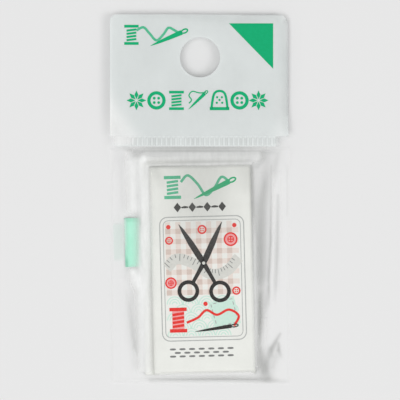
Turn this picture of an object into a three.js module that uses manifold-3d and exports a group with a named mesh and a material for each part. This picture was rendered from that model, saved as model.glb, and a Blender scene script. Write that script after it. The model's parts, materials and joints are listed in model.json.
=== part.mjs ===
// A hang-sell pack of gold-eye hand-sewing needles, lying on its back: a clear film pouch under a white
// header with a hang hole, a folded paper packet in the pouch, a leaf in the packet with a row of needles
// under two arched paper bands, and a mint film slip tucked behind the packet.
// Millimetres. +Y runs up the pack towards the header, +Z comes out of its front, and the origin is in
// the middle of the back.

import * as THREE from "three";
import { mergeVertices } from "three/addons/utils/BufferGeometryUtils.js";
import Module from "manifold-3d";

const wasm = await Module();
wasm.setup();

// Needles
const NEEDLE_LENGTH = 33.3;
const NEEDLE_DIAMETER = 0.71;
const NEEDLE_COUNT = 16;
const NEEDLE_SIDES = 12;
const POINT_LENGTH = 12;
const POINT_RINGS = 5;
const POINT_FULLNESS = 0.8;
const POINT_STRETCH = 1.6;
const DOME_STEP_DEGREES = 30;
const EYE_LENGTH = 1.5;
const EYE_WIDTH = 0.3;
const EYE_FROM_TOP = 0.8;
const GUTTER_LENGTH = 4.2;
const GUTTER_WIDTH = 0.44;
const GUTTER_DEPTH = 0.1;
const GUTTER_SIDES = 8;
const GUTTER_RINGS = 4;

// Arched paper bands over the needles
const BAND_PAPER = 0.2;
const BAND_WIDTH = 5;
const BAND_FOOT = 0.4;
const ARCH_CLEARANCE = 0.1;
const ARCH_GAP = 0.1;
const LOWER_BAND_FROM_POINT = 13;
const UPPER_BAND_FROM_POINT = 23;

// Leaf that carries the bands
const LEAF_PAPER = 0.25;
const LEAF_SIDE = 1.1;
const LEAF_END = 8.2;
const LEAF_CORNER = 1.5;
const NEEDLE_LIFT = 0.15;

// Folded paper packet
const PACKET_PAPER = 0.3;
const PACKET_SIDE_CLEARANCE = 0.4;
const PACKET_FOOT_CLEARANCE = 0.5;
const PACKET_LIP = 1.7;
const FOLD_RADIUS = 0.9;
const BACK_MARGIN_SIDE = 2.3;
const BACK_MARGIN_TOP = 2.5;
const PACKET_TILT_DEGREES = 1.5;
const PACKET_SHIFT = 0.56;

// Mint film slip
const SLIP_FILM = 0.2;
const SLIP_HEIGHT = 12.6;
const SLIP_ABOVE_FOOT = 26.8;
const SLIP_TUCK = 9;
const SLIP_CLEARANCE = 0.25;
const ROLL_WIDTH = 3.6;
const ROLL_HEIGHT = 1.6;
const FLAP_LENGTH = 2.6;

// Clear film pouch
const FILM = 0.15;
const LAYER_CLEARANCE = 0.2;
const SEAL_GAP = 0.05;
const SIDE_SEAM = 0.3;
const SEAM_RISE = 0.25;
const SIDE_CLEARANCE = 0.22;
const FOOT_SEAM = 0.55;
const FOOT_RISE = 1.37;
const LANE_RISE = 0.75;
const RIGHT_SLOPE = 3.1;
const MOUTH_DROP = 5.75;
const MOUTH_LIFT = 1;
const POUCH_TOP = 1.48;

// White header with its crimped heat seal
const HEADER_LENGTH = 33.5;
const HEADER_GAP = 0.05;
const HINGE_GAP = 0.3;
const RIGHT_CORNER = 2.5;
const LEFT_CORNER = 0.8;
const HOLE_DIAMETER = 10;
const HOLE_FROM_TOP = 10.75;
const CRIMP_LENGTH = 2.3;
const CRIMP_FROM_EDGE = 0.15;
const CRIMP_END = 1.6;
const RIB_PITCH = 1.2;
const RIB_FOOT = 0.7;
const RIB_CREST = 0.36;
const RIB_HEIGHT = 0.12;
const RIB_ROOT = 0.05;

// Fineness of the curves
const EYE_SEGMENTS = 2;
const ARCH_SEGMENTS = 3;
const FOLD_SEGMENTS = 4;
const CORNER_SEGMENTS = 6;
const ROLL_SEGMENTS = 12;
const HOLE_SEGMENTS = 12;
const MERGE_DISTANCE = 1e-5;

// Row of needles and the paper around it
const needleRadius = NEEDLE_DIAMETER / 2;
const archInner = needleRadius + ARCH_CLEARANCE;
const archOuter = archInner + BAND_PAPER;
const needlePitch = 2 * archOuter + ARCH_GAP;
const rowHalf = ((NEEDLE_COUNT - 1) * needlePitch) / 2;
const leafWidth = 2 * (rowHalf + needleRadius + LEAF_SIDE);
const leafLength = NEEDLE_LENGTH + 2 * LEAF_END;
const panelWidth = leafWidth + 2 * (PACKET_SIDE_CLEARANCE + PACKET_PAPER);
const panelLength = PACKET_PAPER + PACKET_FOOT_CLEARANCE + leafLength + PACKET_LIP;
const panelFoot = -panelLength / 2;
const leafFoot = panelFoot + PACKET_PAPER + PACKET_FOOT_CLEARANCE;
const pointY = leafFoot + LEAF_END;
const backLeft = -panelWidth / 2 - BACK_MARGIN_SIDE;

// Layers, from the back of the pouch to its front
const slipBottom = FILM + LAYER_CLEARANCE;
const slipTop = slipBottom + SLIP_FILM;
const packetBottom = slipTop + LAYER_CLEARANCE;
const leafBottom = packetBottom + PACKET_PAPER + LAYER_CLEARANCE;
const leafTop = leafBottom + LEAF_PAPER;
const needleZ = leafTop + NEEDLE_LIFT + needleRadius;
const packetTop = needleZ + archOuter + LAYER_CLEARANCE + PACKET_PAPER;
const ceiling = packetTop + LAYER_CLEARANCE;
const seamZ = FILM + SEAL_GAP;

// Places along the pack
const packetTilt = THREE.MathUtils.degToRad(PACKET_TILT_DEGREES);
const tiltSin = Math.sin(packetTilt);
const tiltCos = Math.cos(packetTilt);
const reachDown = (panelLength / 2) * tiltCos - backLeft * tiltSin;
const reachUp = (panelLength / 2 + BACK_MARGIN_TOP) * tiltCos + (panelWidth / 2) * tiltSin;
const footLength = FOOT_SEAM + FOOT_RISE + LAYER_CLEARANCE;
const packLength = footLength + reachDown + reachUp + POUCH_TOP + HEADER_LENGTH;
const packFoot = -packLength / 2;
const packetY = packFoot + footLength + reachDown;
const hingeY = packetY + reachUp + POUCH_TOP;
const hingeZ = ceiling + FILM + HEADER_GAP / 2;
const mouthY = hingeY - MOUTH_DROP;
const liftY = mouthY - MOUTH_LIFT;
const filmTopY = hingeY - HINGE_GAP;

// The slip lies in the packet's own turned frame, beside the left edge of its back panel
const rollRight = backLeft - SLIP_CLEARANCE;
const rollLeft = rollRight - ROLL_WIDTH;
const flapEnd = rollLeft - FLAP_LENGTH;
const slipFoot = panelFoot + SLIP_ABOVE_FOOT;
const packHalf = -turnedX(flapEnd, hingeY) + SIDE_CLEARANCE + SEAM_RISE + SIDE_SEAM;

// X of a line in the packet's turned frame, where it crosses the height y on the pack.
function turnedX(lineX, y) {
  return PACKET_SHIFT + lineX / tiltCos - Math.tan(packetTilt) * (y - packetY);
}

function finish(color, roughness, metalness = 0, opacity = 1) {
  const transparent = opacity < 1;
  return new THREE.MeshStandardMaterial({ color, roughness, metalness, opacity, transparent });
}

function addMesh(group, name, geometry, material) {
  const mesh = new THREE.Mesh(geometry, material);
  mesh.name = name;
  group.add(mesh);
  return mesh;
}

// A closed geometry as a solid that can be joined and cut.
function toSolid(geometry) {
  const bare = geometry.clone();
  bare.deleteAttribute("normal");
  bare.deleteAttribute("uv");
  const merged = mergeVertices(bare, MERGE_DISTANCE);
  const corners = merged.index.array;
  const triangles = [];
  for (let i = 0; i < corners.length; i += 3) {
    const [a, b, c] = corners.slice(i, i + 3);
    if (a !== b && b !== c && c !== a) {
      triangles.push(a, b, c);
    }
  }
  const vertProperties = merged.attributes.position.array;
  const triVerts = new Uint32Array(triangles);
  return new wasm.Manifold(new wasm.Mesh({ numProp: 3, vertProperties, triVerts }));
}

function toGeometry(solid) {
  const mesh = solid.getMesh();
  const geometry = new THREE.BufferGeometry();
  geometry.setAttribute("position", new THREE.BufferAttribute(mesh.vertProperties, 3));
  geometry.setIndex(new THREE.BufferAttribute(mesh.triVerts, 1));
  geometry.computeVertexNormals();
  return geometry;
}

// A flat piece: an outline in X and Y, raised from bottom by depth.
function plate(outline, bottom, depth, curveSegments = CORNER_SEGMENTS) {
  const geometry = new THREE.ExtrudeGeometry(outline, { depth, curveSegments, bevelEnabled: false });
  geometry.translate(0, 0, bottom);
  return geometry;
}

// A profile drawn in X and Z, swept along Y.
function sweep(profile, fromY, toY, curveSegments = FOLD_SEGMENTS) {
  const depth = toY - fromY;
  const geometry = new THREE.ExtrudeGeometry(profile, { depth, curveSegments, bevelEnabled: false });
  geometry.rotateX(Math.PI / 2);
  geometry.translate(0, toY, 0);
  return geometry;
}

// A rectangle with its own radius at each corner, anticlockwise from the lower left.
function roundedRectangle(left, bottom, right, top, radii) {
  const [lowerLeft, lowerRight, upperRight, upperLeft] = radii;
  const quarter = Math.PI / 2;
  const shape = new THREE.Shape();
  const corner = (x, y, radius, start) => {
    if (radius > 0) {
      shape.absarc(x, y, radius, start, start + quarter, false);
    } else {
      shape.lineTo(x, y);
    }
  };
  shape.moveTo(left + lowerLeft, bottom);
  corner(right - lowerRight, bottom + lowerRight, lowerRight, -quarter);
  corner(right - upperRight, top - upperRight, upperRight, 0);
  corner(left + upperLeft, top - upperLeft, upperLeft, quarter);
  corner(left + lowerLeft, bottom + lowerLeft, lowerLeft, Math.PI);
  return shape;
}

// A film of even thickness over a grid of points on its inner side.
function filmGeometry(rows, thickness) {
  const rowCount = rows.length;
  const columnCount = rows[0].length;
  const size = rowCount * columnCount;
  const inner = rows.flat();
  const at = (row, column) => row * columnCount + column;
  const across = new THREE.Vector3();
  const along = new THREE.Vector3();
  const outer = inner.map((point, index) => {
    const row = Math.floor(index / columnCount);
    const column = index % columnCount;
    const right = rows[row][Math.min(column + 1, columnCount - 1)];
    const left = rows[row][Math.max(column - 1, 0)];
    const above = rows[Math.min(row + 1, rowCount - 1)][column];
    const below = rows[Math.max(row - 1, 0)][column];
    across.subVectors(right, left);
    along.subVectors(above, below);
    const normal = new THREE.Vector3().crossVectors(across, along).normalize();
    return point.clone().addScaledVector(normal, thickness);
  });
  const triangles = [];
  for (let row = 0; row < rowCount - 1; row += 1) {
    for (let column = 0; column < columnCount - 1; column += 1) {
      const a = at(row, column);
      const b = at(row, column + 1);
      const c = at(row + 1, column + 1);
      const d = at(row + 1, column);
      triangles.push(a, c, b, a, d, c);
      triangles.push(a + size, b + size, c + size, a + size, c + size, d + size);
    }
  }
  const rim = [];
  for (let column = 0; column < columnCount - 1; column += 1) {
    rim.push(at(0, column));
  }
  for (let row = 0; row < rowCount - 1; row += 1) {
    rim.push(at(row, columnCount - 1));
  }
  for (let column = columnCount - 1; column > 0; column -= 1) {
    rim.push(at(rowCount - 1, column));
  }
  for (let row = rowCount - 1; row > 0; row -= 1) {
    rim.push(at(row, 0));
  }
  rim.forEach((a, index) => {
    const b = rim[(index + 1) % rim.length];
    triangles.push(a, b, b + size, a, b + size, a + size);
  });
  const geometry = new THREE.BufferGeometry().setFromPoints([...inner, ...outer]);
  geometry.setIndex(triangles);
  geometry.computeVertexNormals();
  return geometry;
}

// Needles: a long taper to the point, a domed head, and an eye at the bottom of two gutters
function needleGeometry() {
  const profile = [new THREE.Vector2(0, 0)];
  for (let ring = 1; ring <= POINT_RINGS; ring += 1) {
    const share = ring / POINT_RINGS;
    const swell = Math.sin((share * Math.PI) / 2) ** POINT_FULLNESS;
    profile.push(new THREE.Vector2(needleRadius * swell, POINT_LENGTH * share ** POINT_STRETCH));
  }
  const domeY = NEEDLE_LENGTH - needleRadius;
  for (let angle = 0; angle < 90; angle += DOME_STEP_DEGREES) {
    const turn = THREE.MathUtils.degToRad(angle);
    profile.push(new THREE.Vector2(needleRadius * Math.cos(turn), domeY + needleRadius * Math.sin(turn)));
  }
  profile.push(new THREE.Vector2(0, NEEDLE_LENGTH));
  const shaft = toSolid(new THREE.LatheGeometry(profile, NEEDLE_SIDES));

  const eyeHalf = EYE_WIDTH / 2;
  const eyeTop = NEEDLE_LENGTH - EYE_FROM_TOP;
  const eyeRadii = [eyeHalf, eyeHalf, eyeHalf, eyeHalf];
  const eyeOutline = roundedRectangle(-eyeHalf, eyeTop - EYE_LENGTH, eyeHalf, eyeTop, eyeRadii);
  const eye = toSolid(plate(eyeOutline, -NEEDLE_DIAMETER, 2 * NEEDLE_DIAMETER, EYE_SEGMENTS));

  const gutter = new THREE.SphereGeometry(1, GUTTER_SIDES, GUTTER_RINGS);
  gutter.scale(GUTTER_WIDTH / 2, GUTTER_LENGTH / 2, GUTTER_DEPTH);
  gutter.translate(0, eyeTop - EYE_LENGTH / 2, needleRadius);
  const frontGutter = toSolid(gutter);
  gutter.rotateY(Math.PI);
  const backGutter = toSolid(gutter);
  return toGeometry(shaft.subtract(eye).subtract(frontGutter).subtract(backGutter));
}

function needleX(index) {
  return index * needlePitch - rowHalf;
}

function addNeedles(group) {
  const geometry = needleGeometry();
  for (let index = 0; index < NEEDLE_COUNT; index += 1) {
    const name = `needle_${String(index + 1).padStart(2, "0")}`;
    const mesh = addMesh(group, name, geometry, finish(0xcfc9b4, 0.25, 1));
    mesh.position.set(needleX(index), pointY, needleZ);
  }
}

// One strip of paper glued down between the needles, with an arch over each
function bandProfile() {
  const reach = rowHalf + archOuter + BAND_FOOT;
  const shape = new THREE.Shape();
  shape.moveTo(-reach, leafTop);
  for (let index = 0; index < NEEDLE_COUNT; index += 1) {
    const x = needleX(index);
    shape.lineTo(x - archInner, leafTop);
    shape.absarc(x, needleZ, archInner, Math.PI, 0, true);
    shape.lineTo(x + archInner, leafTop);
  }
  shape.lineTo(reach, leafTop);
  shape.lineTo(reach, leafTop + BAND_PAPER);
  for (let index = NEEDLE_COUNT - 1; index >= 0; index -= 1) {
    const x = needleX(index);
    shape.lineTo(x + archOuter, leafTop + BAND_PAPER);
    shape.absarc(x, needleZ, archOuter, 0, Math.PI, false);
    shape.lineTo(x - archOuter, leafTop + BAND_PAPER);
  }
  shape.lineTo(-reach, leafTop + BAND_PAPER);
  shape.closePath();
  return shape;
}

function addLeaf(group) {
  const leafRadii = [LEAF_CORNER, LEAF_CORNER, LEAF_CORNER, LEAF_CORNER];
  const half = leafWidth / 2;
  const outline = roundedRectangle(-half, leafFoot, half, leafFoot + leafLength, leafRadii);
  addMesh(group, "needle_leaf", plate(outline, leafBottom, LEAF_PAPER), finish(0xf4f1e6, 0.9));
  const profile = bandProfile();
  const bands = { needle_band_lower: LOWER_BAND_FROM_POINT, needle_band_upper: UPPER_BAND_FROM_POINT };
  for (const [name, fromPoint] of Object.entries(bands)) {
    const middle = pointY + fromPoint;
    const band = sweep(profile, middle - BAND_WIDTH / 2, middle + BAND_WIDTH / 2, ARCH_SEGMENTS);
    addMesh(group, name, band, finish(0xf7f5ee, 0.9));
  }
}

// The packet: one sheet folded over at the right and glued down along the left and the foot, open at the
// top, with a back panel that stands past the front panel at the left and the top
function addPacket(group) {
  const half = panelWidth / 2;
  const outerRadii = [0, FOLD_RADIUS, FOLD_RADIUS, FOLD_RADIUS];
  const innerRadii = outerRadii.map((radius) => Math.max(radius - PACKET_PAPER, 0));
  const outside = roundedRectangle(-half, packetBottom, half, packetTop, outerRadii);
  const inside = roundedRectangle(
    PACKET_PAPER - half,
    packetBottom + PACKET_PAPER,
    half - PACKET_PAPER,
    packetTop - PACKET_PAPER,
    innerRadii,
  );
  const backRight = half - FOLD_RADIUS;
  const backTop = panelLength / 2 + BACK_MARGIN_TOP;
  const backOutline = roundedRectangle(backLeft, panelFoot, backRight, backTop, [0, 0, 0, 0]);
  const tube = toSolid(sweep(outside, panelFoot, panelLength / 2));
  const back = toSolid(plate(backOutline, packetBottom, PACKET_PAPER));
  const pocket = toSolid(sweep(inside, panelFoot + PACKET_PAPER, backTop + PACKET_LIP));
  const sleeve = toGeometry(tube.add(back).subtract(pocket));
  addMesh(group, "packet_sleeve", sleeve, finish(0xf1f0ea, 0.85));
}

// The slip: a flat strip behind the packet that rises in a soft roll beside it and ends in a flat flap
function addSlip(group) {
  const middle = (rollLeft + rollRight) / 2;
  const half = ROLL_WIDTH / 2;
  const innerHalf = half - SLIP_FILM;
  const innerHeight = ROLL_HEIGHT - SLIP_FILM;
  const profile = new THREE.Shape();
  profile.moveTo(flapEnd, slipBottom);
  profile.lineTo(middle - innerHalf, slipBottom);
  profile.absellipse(middle, slipBottom, innerHalf, innerHeight, Math.PI, 0, true);
  profile.lineTo(rollRight + SLIP_TUCK, slipBottom);
  profile.lineTo(rollRight + SLIP_TUCK, slipTop);
  const upperHalf = half * Math.sqrt(1 - (SLIP_FILM / ROLL_HEIGHT) ** 2);
  profile.lineTo(middle + upperHalf, slipTop);
  const start = Math.asin(SLIP_FILM / ROLL_HEIGHT);
  profile.absellipse(middle, slipBottom, half, ROLL_HEIGHT, start, Math.PI - start, false);
  profile.lineTo(flapEnd, slipTop);
  profile.closePath();
  const slip = sweep(profile, slipFoot, slipFoot + SLIP_HEIGHT, ROLL_SEGMENTS);
  addMesh(group, "mint_slip", slip, finish(0xb6eed7, 0.4, 0, 0.9));
}

// The pouch: a flat back film that stops short of the header, leaving the mouth, and a front film that
// rises over the slip and the packet and comes up level with the header
function addPouch(group) {
  const backOutline = roundedRectangle(-packHalf, packFoot, packHalf, mouthY, [0, 0, 0, 0]);
  const clear = finish(0xf4f8f8, 0.12, 0, 0.25);
  addMesh(group, "pouch_back_film", plate(backOutline, 0, FILM), clear);

  const flapZ = slipTop + LAYER_CLEARANCE;
  const rollZ = slipBottom + ROLL_HEIGHT + LAYER_CLEARANCE;
  const laneLeft = turnedX(rollLeft, liftY) - LAYER_CLEARANCE;
  const laneRight = turnedX(rollRight, liftY) - LAYER_CLEARANCE;
  const panelLeft = turnedX(-panelWidth / 2, hingeY) - LAYER_CLEARANCE;
  const panelRight = turnedX(panelWidth / 2, packFoot) + LAYER_CLEARANCE;
  const section = [
    [-packHalf, seamZ],
    [SIDE_SEAM - packHalf, seamZ],
    [SIDE_SEAM + SEAM_RISE - packHalf, flapZ],
    [laneLeft - LANE_RISE, flapZ],
    [laneLeft, rollZ],
    [laneRight, rollZ],
    [panelLeft, ceiling],
    [panelRight, ceiling],
    [panelRight + RIGHT_SLOPE, seamZ],
    [packHalf, seamZ],
  ];
  const row = (y, rise, level) => section.map(([x, z]) => new THREE.Vector3(x, y, z + (level - z) * rise));
  const rows = [
    row(packFoot, 1, seamZ),
    row(packFoot + FOOT_SEAM, 1, seamZ),
    row(packFoot + FOOT_SEAM + FOOT_RISE, 0, seamZ),
    row(liftY, 0, ceiling),
    row((liftY + filmTopY) / 2, 0.5, ceiling),
    row(filmTopY, 1, ceiling),
  ];
  addMesh(group, "pouch_front_film", filmGeometry(rows, FILM), clear);
}

// The header: two layers of white film with one hang hole, crimped together along the foot
function headerOutline() {
  const radii = [0, 0, RIGHT_CORNER, LEFT_CORNER];
  const outline = roundedRectangle(-packHalf, HINGE_GAP, packHalf, HEADER_LENGTH, radii);
  const hole = new THREE.Path();
  hole.absarc(0, HEADER_LENGTH - HOLE_FROM_TOP, HOLE_DIAMETER / 2, 0, 2 * Math.PI, true);
  outline.holes.push(hole);
  return outline;
}

function crimpProfile(surface) {
  const reach = packHalf - CRIMP_END;
  const count = Math.floor((2 * reach - RIB_FOOT) / RIB_PITCH) + 1;
  const root = surface - RIB_ROOT;
  const shape = new THREE.Shape();
  shape.moveTo(-reach, root - RIB_ROOT);
  shape.lineTo(reach, root - RIB_ROOT);
  shape.lineTo(reach, root);
  for (let index = count - 1; index >= 0; index -= 1) {
    const x = (index - (count - 1) / 2) * RIB_PITCH;
    shape.lineTo(x + RIB_FOOT / 2, root);
    shape.lineTo(x + RIB_CREST / 2, surface + RIB_HEIGHT);
    shape.lineTo(x - RIB_CREST / 2, surface + RIB_HEIGHT);
    shape.lineTo(x - RIB_FOOT / 2, root);
  }
  shape.lineTo(-reach, root);
  shape.closePath();
  return shape;
}

function addHeader(group) {
  const white = finish(0xe9eeec, 0.35);
  const outline = headerOutline();
  const backBottom = ceiling - hingeZ;
  const frontBottom = backBottom + FILM + HEADER_GAP;
  const crimpFoot = HINGE_GAP + CRIMP_FROM_EDGE;
  const ribs = toSolid(sweep(crimpProfile(frontBottom + FILM), crimpFoot, crimpFoot + CRIMP_LENGTH));
  const front = toSolid(plate(outline, frontBottom, FILM, HOLE_SEGMENTS)).add(ribs);
  addMesh(group, "header_front_film", toGeometry(front), white);
  addMesh(group, "header_back_film", plate(outline, backBottom, FILM, HOLE_SEGMENTS), white);
}

// The whole pack
const pack = new THREE.Group();
addPouch(pack);

const header = new THREE.Group();
header.position.set(0, hingeY, hingeZ);
addHeader(header);
pack.add(header);

const packet = new THREE.Group();
packet.position.set(PACKET_SHIFT, packetY, 0);
packet.rotation.z = packetTilt;
addPacket(packet);
addSlip(packet);
addLeaf(packet);
addNeedles(packet);
pack.add(packet);

export default pack;
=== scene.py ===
"""Looks for a hang-sell pack of gold-eye hand-sewing needles, seen straight from the front.

Clear film pouch, white header with a hang hole, folded paper packet, mint film slip, and inside the
packet a paper leaf with a row of needles. Lengths are millimetres until a mesh is made.
"""

import json
import math

import bmesh
import bpy
import numpy as np
from mathutils import Color, Matrix, Vector, noise
from mathutils.geometry import delaunay_2d_cdt


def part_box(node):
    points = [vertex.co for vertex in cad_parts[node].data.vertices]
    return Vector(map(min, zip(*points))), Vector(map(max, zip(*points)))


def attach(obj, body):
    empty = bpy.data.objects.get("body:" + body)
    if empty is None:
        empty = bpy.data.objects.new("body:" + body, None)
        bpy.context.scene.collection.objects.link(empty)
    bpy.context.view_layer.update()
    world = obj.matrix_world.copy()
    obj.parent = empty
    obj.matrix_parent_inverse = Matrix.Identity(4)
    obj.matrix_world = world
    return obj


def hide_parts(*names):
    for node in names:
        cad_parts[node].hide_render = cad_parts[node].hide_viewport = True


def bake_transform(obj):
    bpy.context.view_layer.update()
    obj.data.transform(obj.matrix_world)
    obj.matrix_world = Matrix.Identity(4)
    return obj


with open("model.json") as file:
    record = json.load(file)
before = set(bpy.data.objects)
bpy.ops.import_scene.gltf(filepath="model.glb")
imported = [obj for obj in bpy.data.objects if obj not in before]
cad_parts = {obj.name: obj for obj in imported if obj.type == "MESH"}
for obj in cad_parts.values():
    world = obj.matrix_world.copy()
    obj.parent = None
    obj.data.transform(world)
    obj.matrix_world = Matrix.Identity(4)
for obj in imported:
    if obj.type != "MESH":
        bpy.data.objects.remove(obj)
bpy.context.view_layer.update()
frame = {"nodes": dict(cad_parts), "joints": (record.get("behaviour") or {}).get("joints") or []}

MM = 0.001
PIXEL = 0.25
PIXEL_ORIGIN = (199.5, 199.0)


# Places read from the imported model

def node_box(node):
    low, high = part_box(node)
    return np.array(low) / MM, np.array(high) / MM


joints = {joint["name"]: joint for joint in frame["joints"]}
hinge_y, hinge_z = (value / MM for value in joints["header_fold"]["pos_m"][1:])
slide_axis = joints["packet_slide"]["axis"]
tilt = math.atan2(-slide_axis[0], slide_axis[1])
front_low, front_high = node_box("pouch_front_film")
back_low, back_high = node_box("pouch_back_film")
sleeve_low, sleeve_high = node_box("packet_sleeve")
slip_low, slip_high = node_box("mint_slip")
header_high = node_box("header_front_film")[1]
pack_half = front_high[0]
pack_foot = front_low[1]
mouth_y = back_high[1]
header_top = header_high[1]

# The packet's own frame: its middle is the middle of the needle leaf
packet_middle = sum(node_box("needle_leaf")) / 2
packet_across = (math.cos(tilt), math.sin(tilt))
packet_along = (-math.sin(tilt), math.cos(tilt))


# Places and fades

def spot(px, py):
    """Millimetres on the pack of a place in the 400 by 400 picture."""
    return (px - PIXEL_ORIGIN[0]) * PIXEL, (PIXEL_ORIGIN[1] - py) * PIXEL


def packet_to_pack(u, v):
    """Places on the pack of places in the packet's own frame."""
    return tuple(packet_middle[i] + u * packet_across[i] + v * packet_along[i] for i in (0, 1))


def arc(middle, radius, degrees):
    turns = np.radians(degrees)
    return [(middle[0] + radius * math.cos(a), middle[1] + radius * math.sin(a)) for a in turns]


def circle(middle, radius, sides):
    return arc(middle, radius, np.linspace(0, 360, sides, endpoint=False))


def ease(low, high, value):
    """0 to 1 as value goes from low to high, with soft ends."""
    share = np.clip((value - low) / (high - low), 0, 1)
    return share * share * (3 - 2 * share)


def span(value, rise, fall):
    """1 between a rise and a fall, each given by where it starts and ends."""
    return ease(*rise, value) * ease(*fall, value)


def soft_line(value, strength, middle, width):
    return strength * np.exp(-((value - middle) / width) ** 2)


def ripple(x, y, scale, seed):
    """Soft noise, about -1 to 1."""
    return np.array([noise.noise((a / scale, b / scale, seed)) for a, b in zip(x, y)])


# Meshes

SHARP = math.radians(60)
JOIN = 1e-6


def link(name, data):
    obj = bpy.data.objects.new(name, data)
    bpy.context.scene.collection.objects.link(obj)
    return obj


def make_object(name, verts, faces, materials, body=None, face_materials=None):
    mesh = bpy.data.meshes.new(name)
    mesh.from_pydata([(x * MM, y * MM, z * MM) for x, y, z in verts], [], [list(f) for f in faces])
    for material in materials:
        mesh.materials.append(material)
    if face_materials:
        mesh.polygons.foreach_set("material_index", face_materials)
    else:
        mesh.shade_smooth()
    mesh.validate()
    mesh.update()
    obj = link(name, mesh)
    if body:
        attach(obj, body)
    return obj


def grid(xs, ys):
    """Points of a grid, row by row, as a flat array for each direction, and its faces."""
    x, y = (values.ravel() for values in np.meshgrid(xs, ys))
    count = len(xs)
    starts = [row * count + column for row in range(len(ys) - 1) for column in range(count - 1)]
    return x, y, [(a, a + 1, a + count + 1, a + count) for a in starts]


def fill(loops, inner):
    """Triangles inside closed loops of points, with more points inside them."""
    points, edges = [], []
    for loop in loops:
        start, count = len(points), len(loop)
        edges += [(start + i, start + (i + 1) % count) for i in range(count)]
        points += loop
    verts, _, faces, *_ = delaunay_2d_cdt([Vector(p) for p in points + inner], edges, [], 1, JOIN)
    return np.array([(v.x, v.y) for v in verts]), faces


def closed_sheet(verts, faces, drop):
    """A thin closed film: the sheet, the same sheet lower by drop, and a wall along each open edge."""
    verts = list(verts)
    count = len(verts)
    lower = [(x, y, z - drop) for x, y, z in verts]
    runs = {(a, b) for face in faces for a, b in zip(face, [*face[1:], face[0]])}
    walls = [(b, a, a + count, b + count) for a, b in sorted(runs) if (b, a) not in runs]
    under = [[i + count for i in reversed(face)] for face in faces]
    return verts + lower, [*faces, *under, *walls]


def add_tones(obj, **tones):
    """Gives each point the values that its material reads."""
    for name, values in tones.items():
        attribute = obj.data.attributes.new(name, "FLOAT", "POINT")
        attribute.data.foreach_set("value", np.asarray(values, np.float32))


def thicken(obj, thickness, offset):
    modifier = obj.modifiers.new("thickness", "SOLIDIFY")
    modifier.thickness = thickness * MM
    modifier.offset = offset
    modifier.use_even_offset = True


# Materials

class Nodes:
    """A short way to write a material's node tree."""

    def __init__(self, name):
        self.material = bpy.data.materials.new(name)
        self.material.use_nodes = True
        self.tree = self.material.node_tree
        self.principled = self.tree.nodes["Principled BSDF"]

    def put(self, socket, value):
        if isinstance(value, bpy.types.NodeSocket):
            self.tree.links.new(value, socket)
        else:
            socket.default_value = value

    def add(self, kind, inputs, **settings):
        """Adds a node, its inputs given by name or number, and returns its outputs."""
        node = self.tree.nodes.new(kind)
        for key, value in settings.items():
            setattr(node, key, value)
        for key, value in inputs.items():
            self.put(node.inputs[key], value)
        return node.outputs

    def set(self, **values):
        for key, value in values.items():
            self.put(self.principled.inputs[key.replace("_", " ")], value)

    def attribute(self, name):
        return self.add("ShaderNodeAttribute", {}, attribute_name=name)["Fac"]

    def math(self, operation, a, b, clamp=False):
        return self.add("ShaderNodeMath", {0: a, 1: b}, operation=operation, use_clamp=clamp)[0]

    def plus(self, a, b, clamp=False):
        return self.math("ADD", a, b, clamp)

    def times(self, a, b):
        return self.math("MULTIPLY", a, b)

    def noise(self, scale, detail=3.0, rough=0.5, stretch=(1, 1, 1)):
        """Noise in object coordinates, its scale per metre."""
        place = self.add("ShaderNodeTexCoord", {})["Object"]
        place = self.add("ShaderNodeMapping", {"Vector": place, "Scale": stretch})[0]
        inputs = {"Vector": place, "Scale": scale, "Detail": detail, "Roughness": rough}
        return self.add("ShaderNodeTexNoise", inputs)["Fac"]

    def mix(self, share, first, second):
        """A colour between first and second as share goes from 0 to 1."""
        return self.add("ShaderNodeMix", {0: share, 6: first, 7: second}, data_type="RGBA")[2]

    def spread(self, value, low=0.3, high=0.7):
        """value between low and high, mapped to 0 to 1."""
        return self.add("ShaderNodeMapRange", {"Value": value, "From Min": low, "From Max": high})[0]

    def range(self, value, low, high):
        """value from 0 to 1, mapped to low to high."""
        return self.add("ShaderNodeMapRange", {"Value": value, "To Min": low, "To Max": high})[0]

    def bump(self, height, distance, strength):
        inputs = {"Height": height, "Distance": distance * MM, "Strength": strength}
        self.set(Normal=self.add("ShaderNodeBump", inputs)[0])


def linear(*levels):
    """Linear colour of an sRGB colour given in 0 to 255."""
    return (*Color([level / 255 for level in levels]).from_srgb_to_scene_linear(), 1)


# The clear film's white, which is also its painted light and sheen, and the colour of its painted shade
FILM_WHITE_AND_PAINTED_LIGHT = linear(250, 251, 250)
FILM_PAINTED_SHADE = linear(128, 131, 126)
FILM_PALENESS = 0.03
FILM_COVER = 0.008
FILM_SHEEN = 0.7
SHEEN_POWER = 5.0
CREASE_ROUGH = 0.7
HEADER_LIGHT = linear(237, 242, 241)
HEADER_SHADE = linear(229, 234, 233)
# The header's darker colour, for its painted shade and darker marks, and the colour of its painted light
HEADER_DARK = linear(168, 172, 170)
HEADER_PAINTED_LIGHT = linear(252, 253, 252)
MINT_LIGHT = linear(180, 241, 217)
MINT_SHADE = linear(170, 236, 210)
# The slip's colour of painted shade
MINT_PAINTED_SHADE = linear(120, 196, 165)
# Each ink's colour, and its colour where it lies thin
INKS = {
    "green": ((8, 168, 110), (16, 174, 117)),
    "soft green": ((70, 178, 134), (98, 192, 154)),
    "black": ((34, 33, 32), (62, 60, 58)),
    "red": ((222, 40, 34), (230, 70, 62)),
    "pink": ((236, 150, 152), (240, 172, 172)),
    "pale mint": ((196, 226, 212), (208, 232, 220)),
    "cloth": ((226, 214, 206), (230, 220, 213)),
    "cloth check": ((208, 190, 180), (214, 198, 189)),
    "grey": ((168, 170, 168), (184, 186, 184)),
    "pale grey": ((206, 206, 200), (216, 216, 210)),
    "dark grey": ((112, 113, 112), (138, 139, 138)),
}


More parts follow.
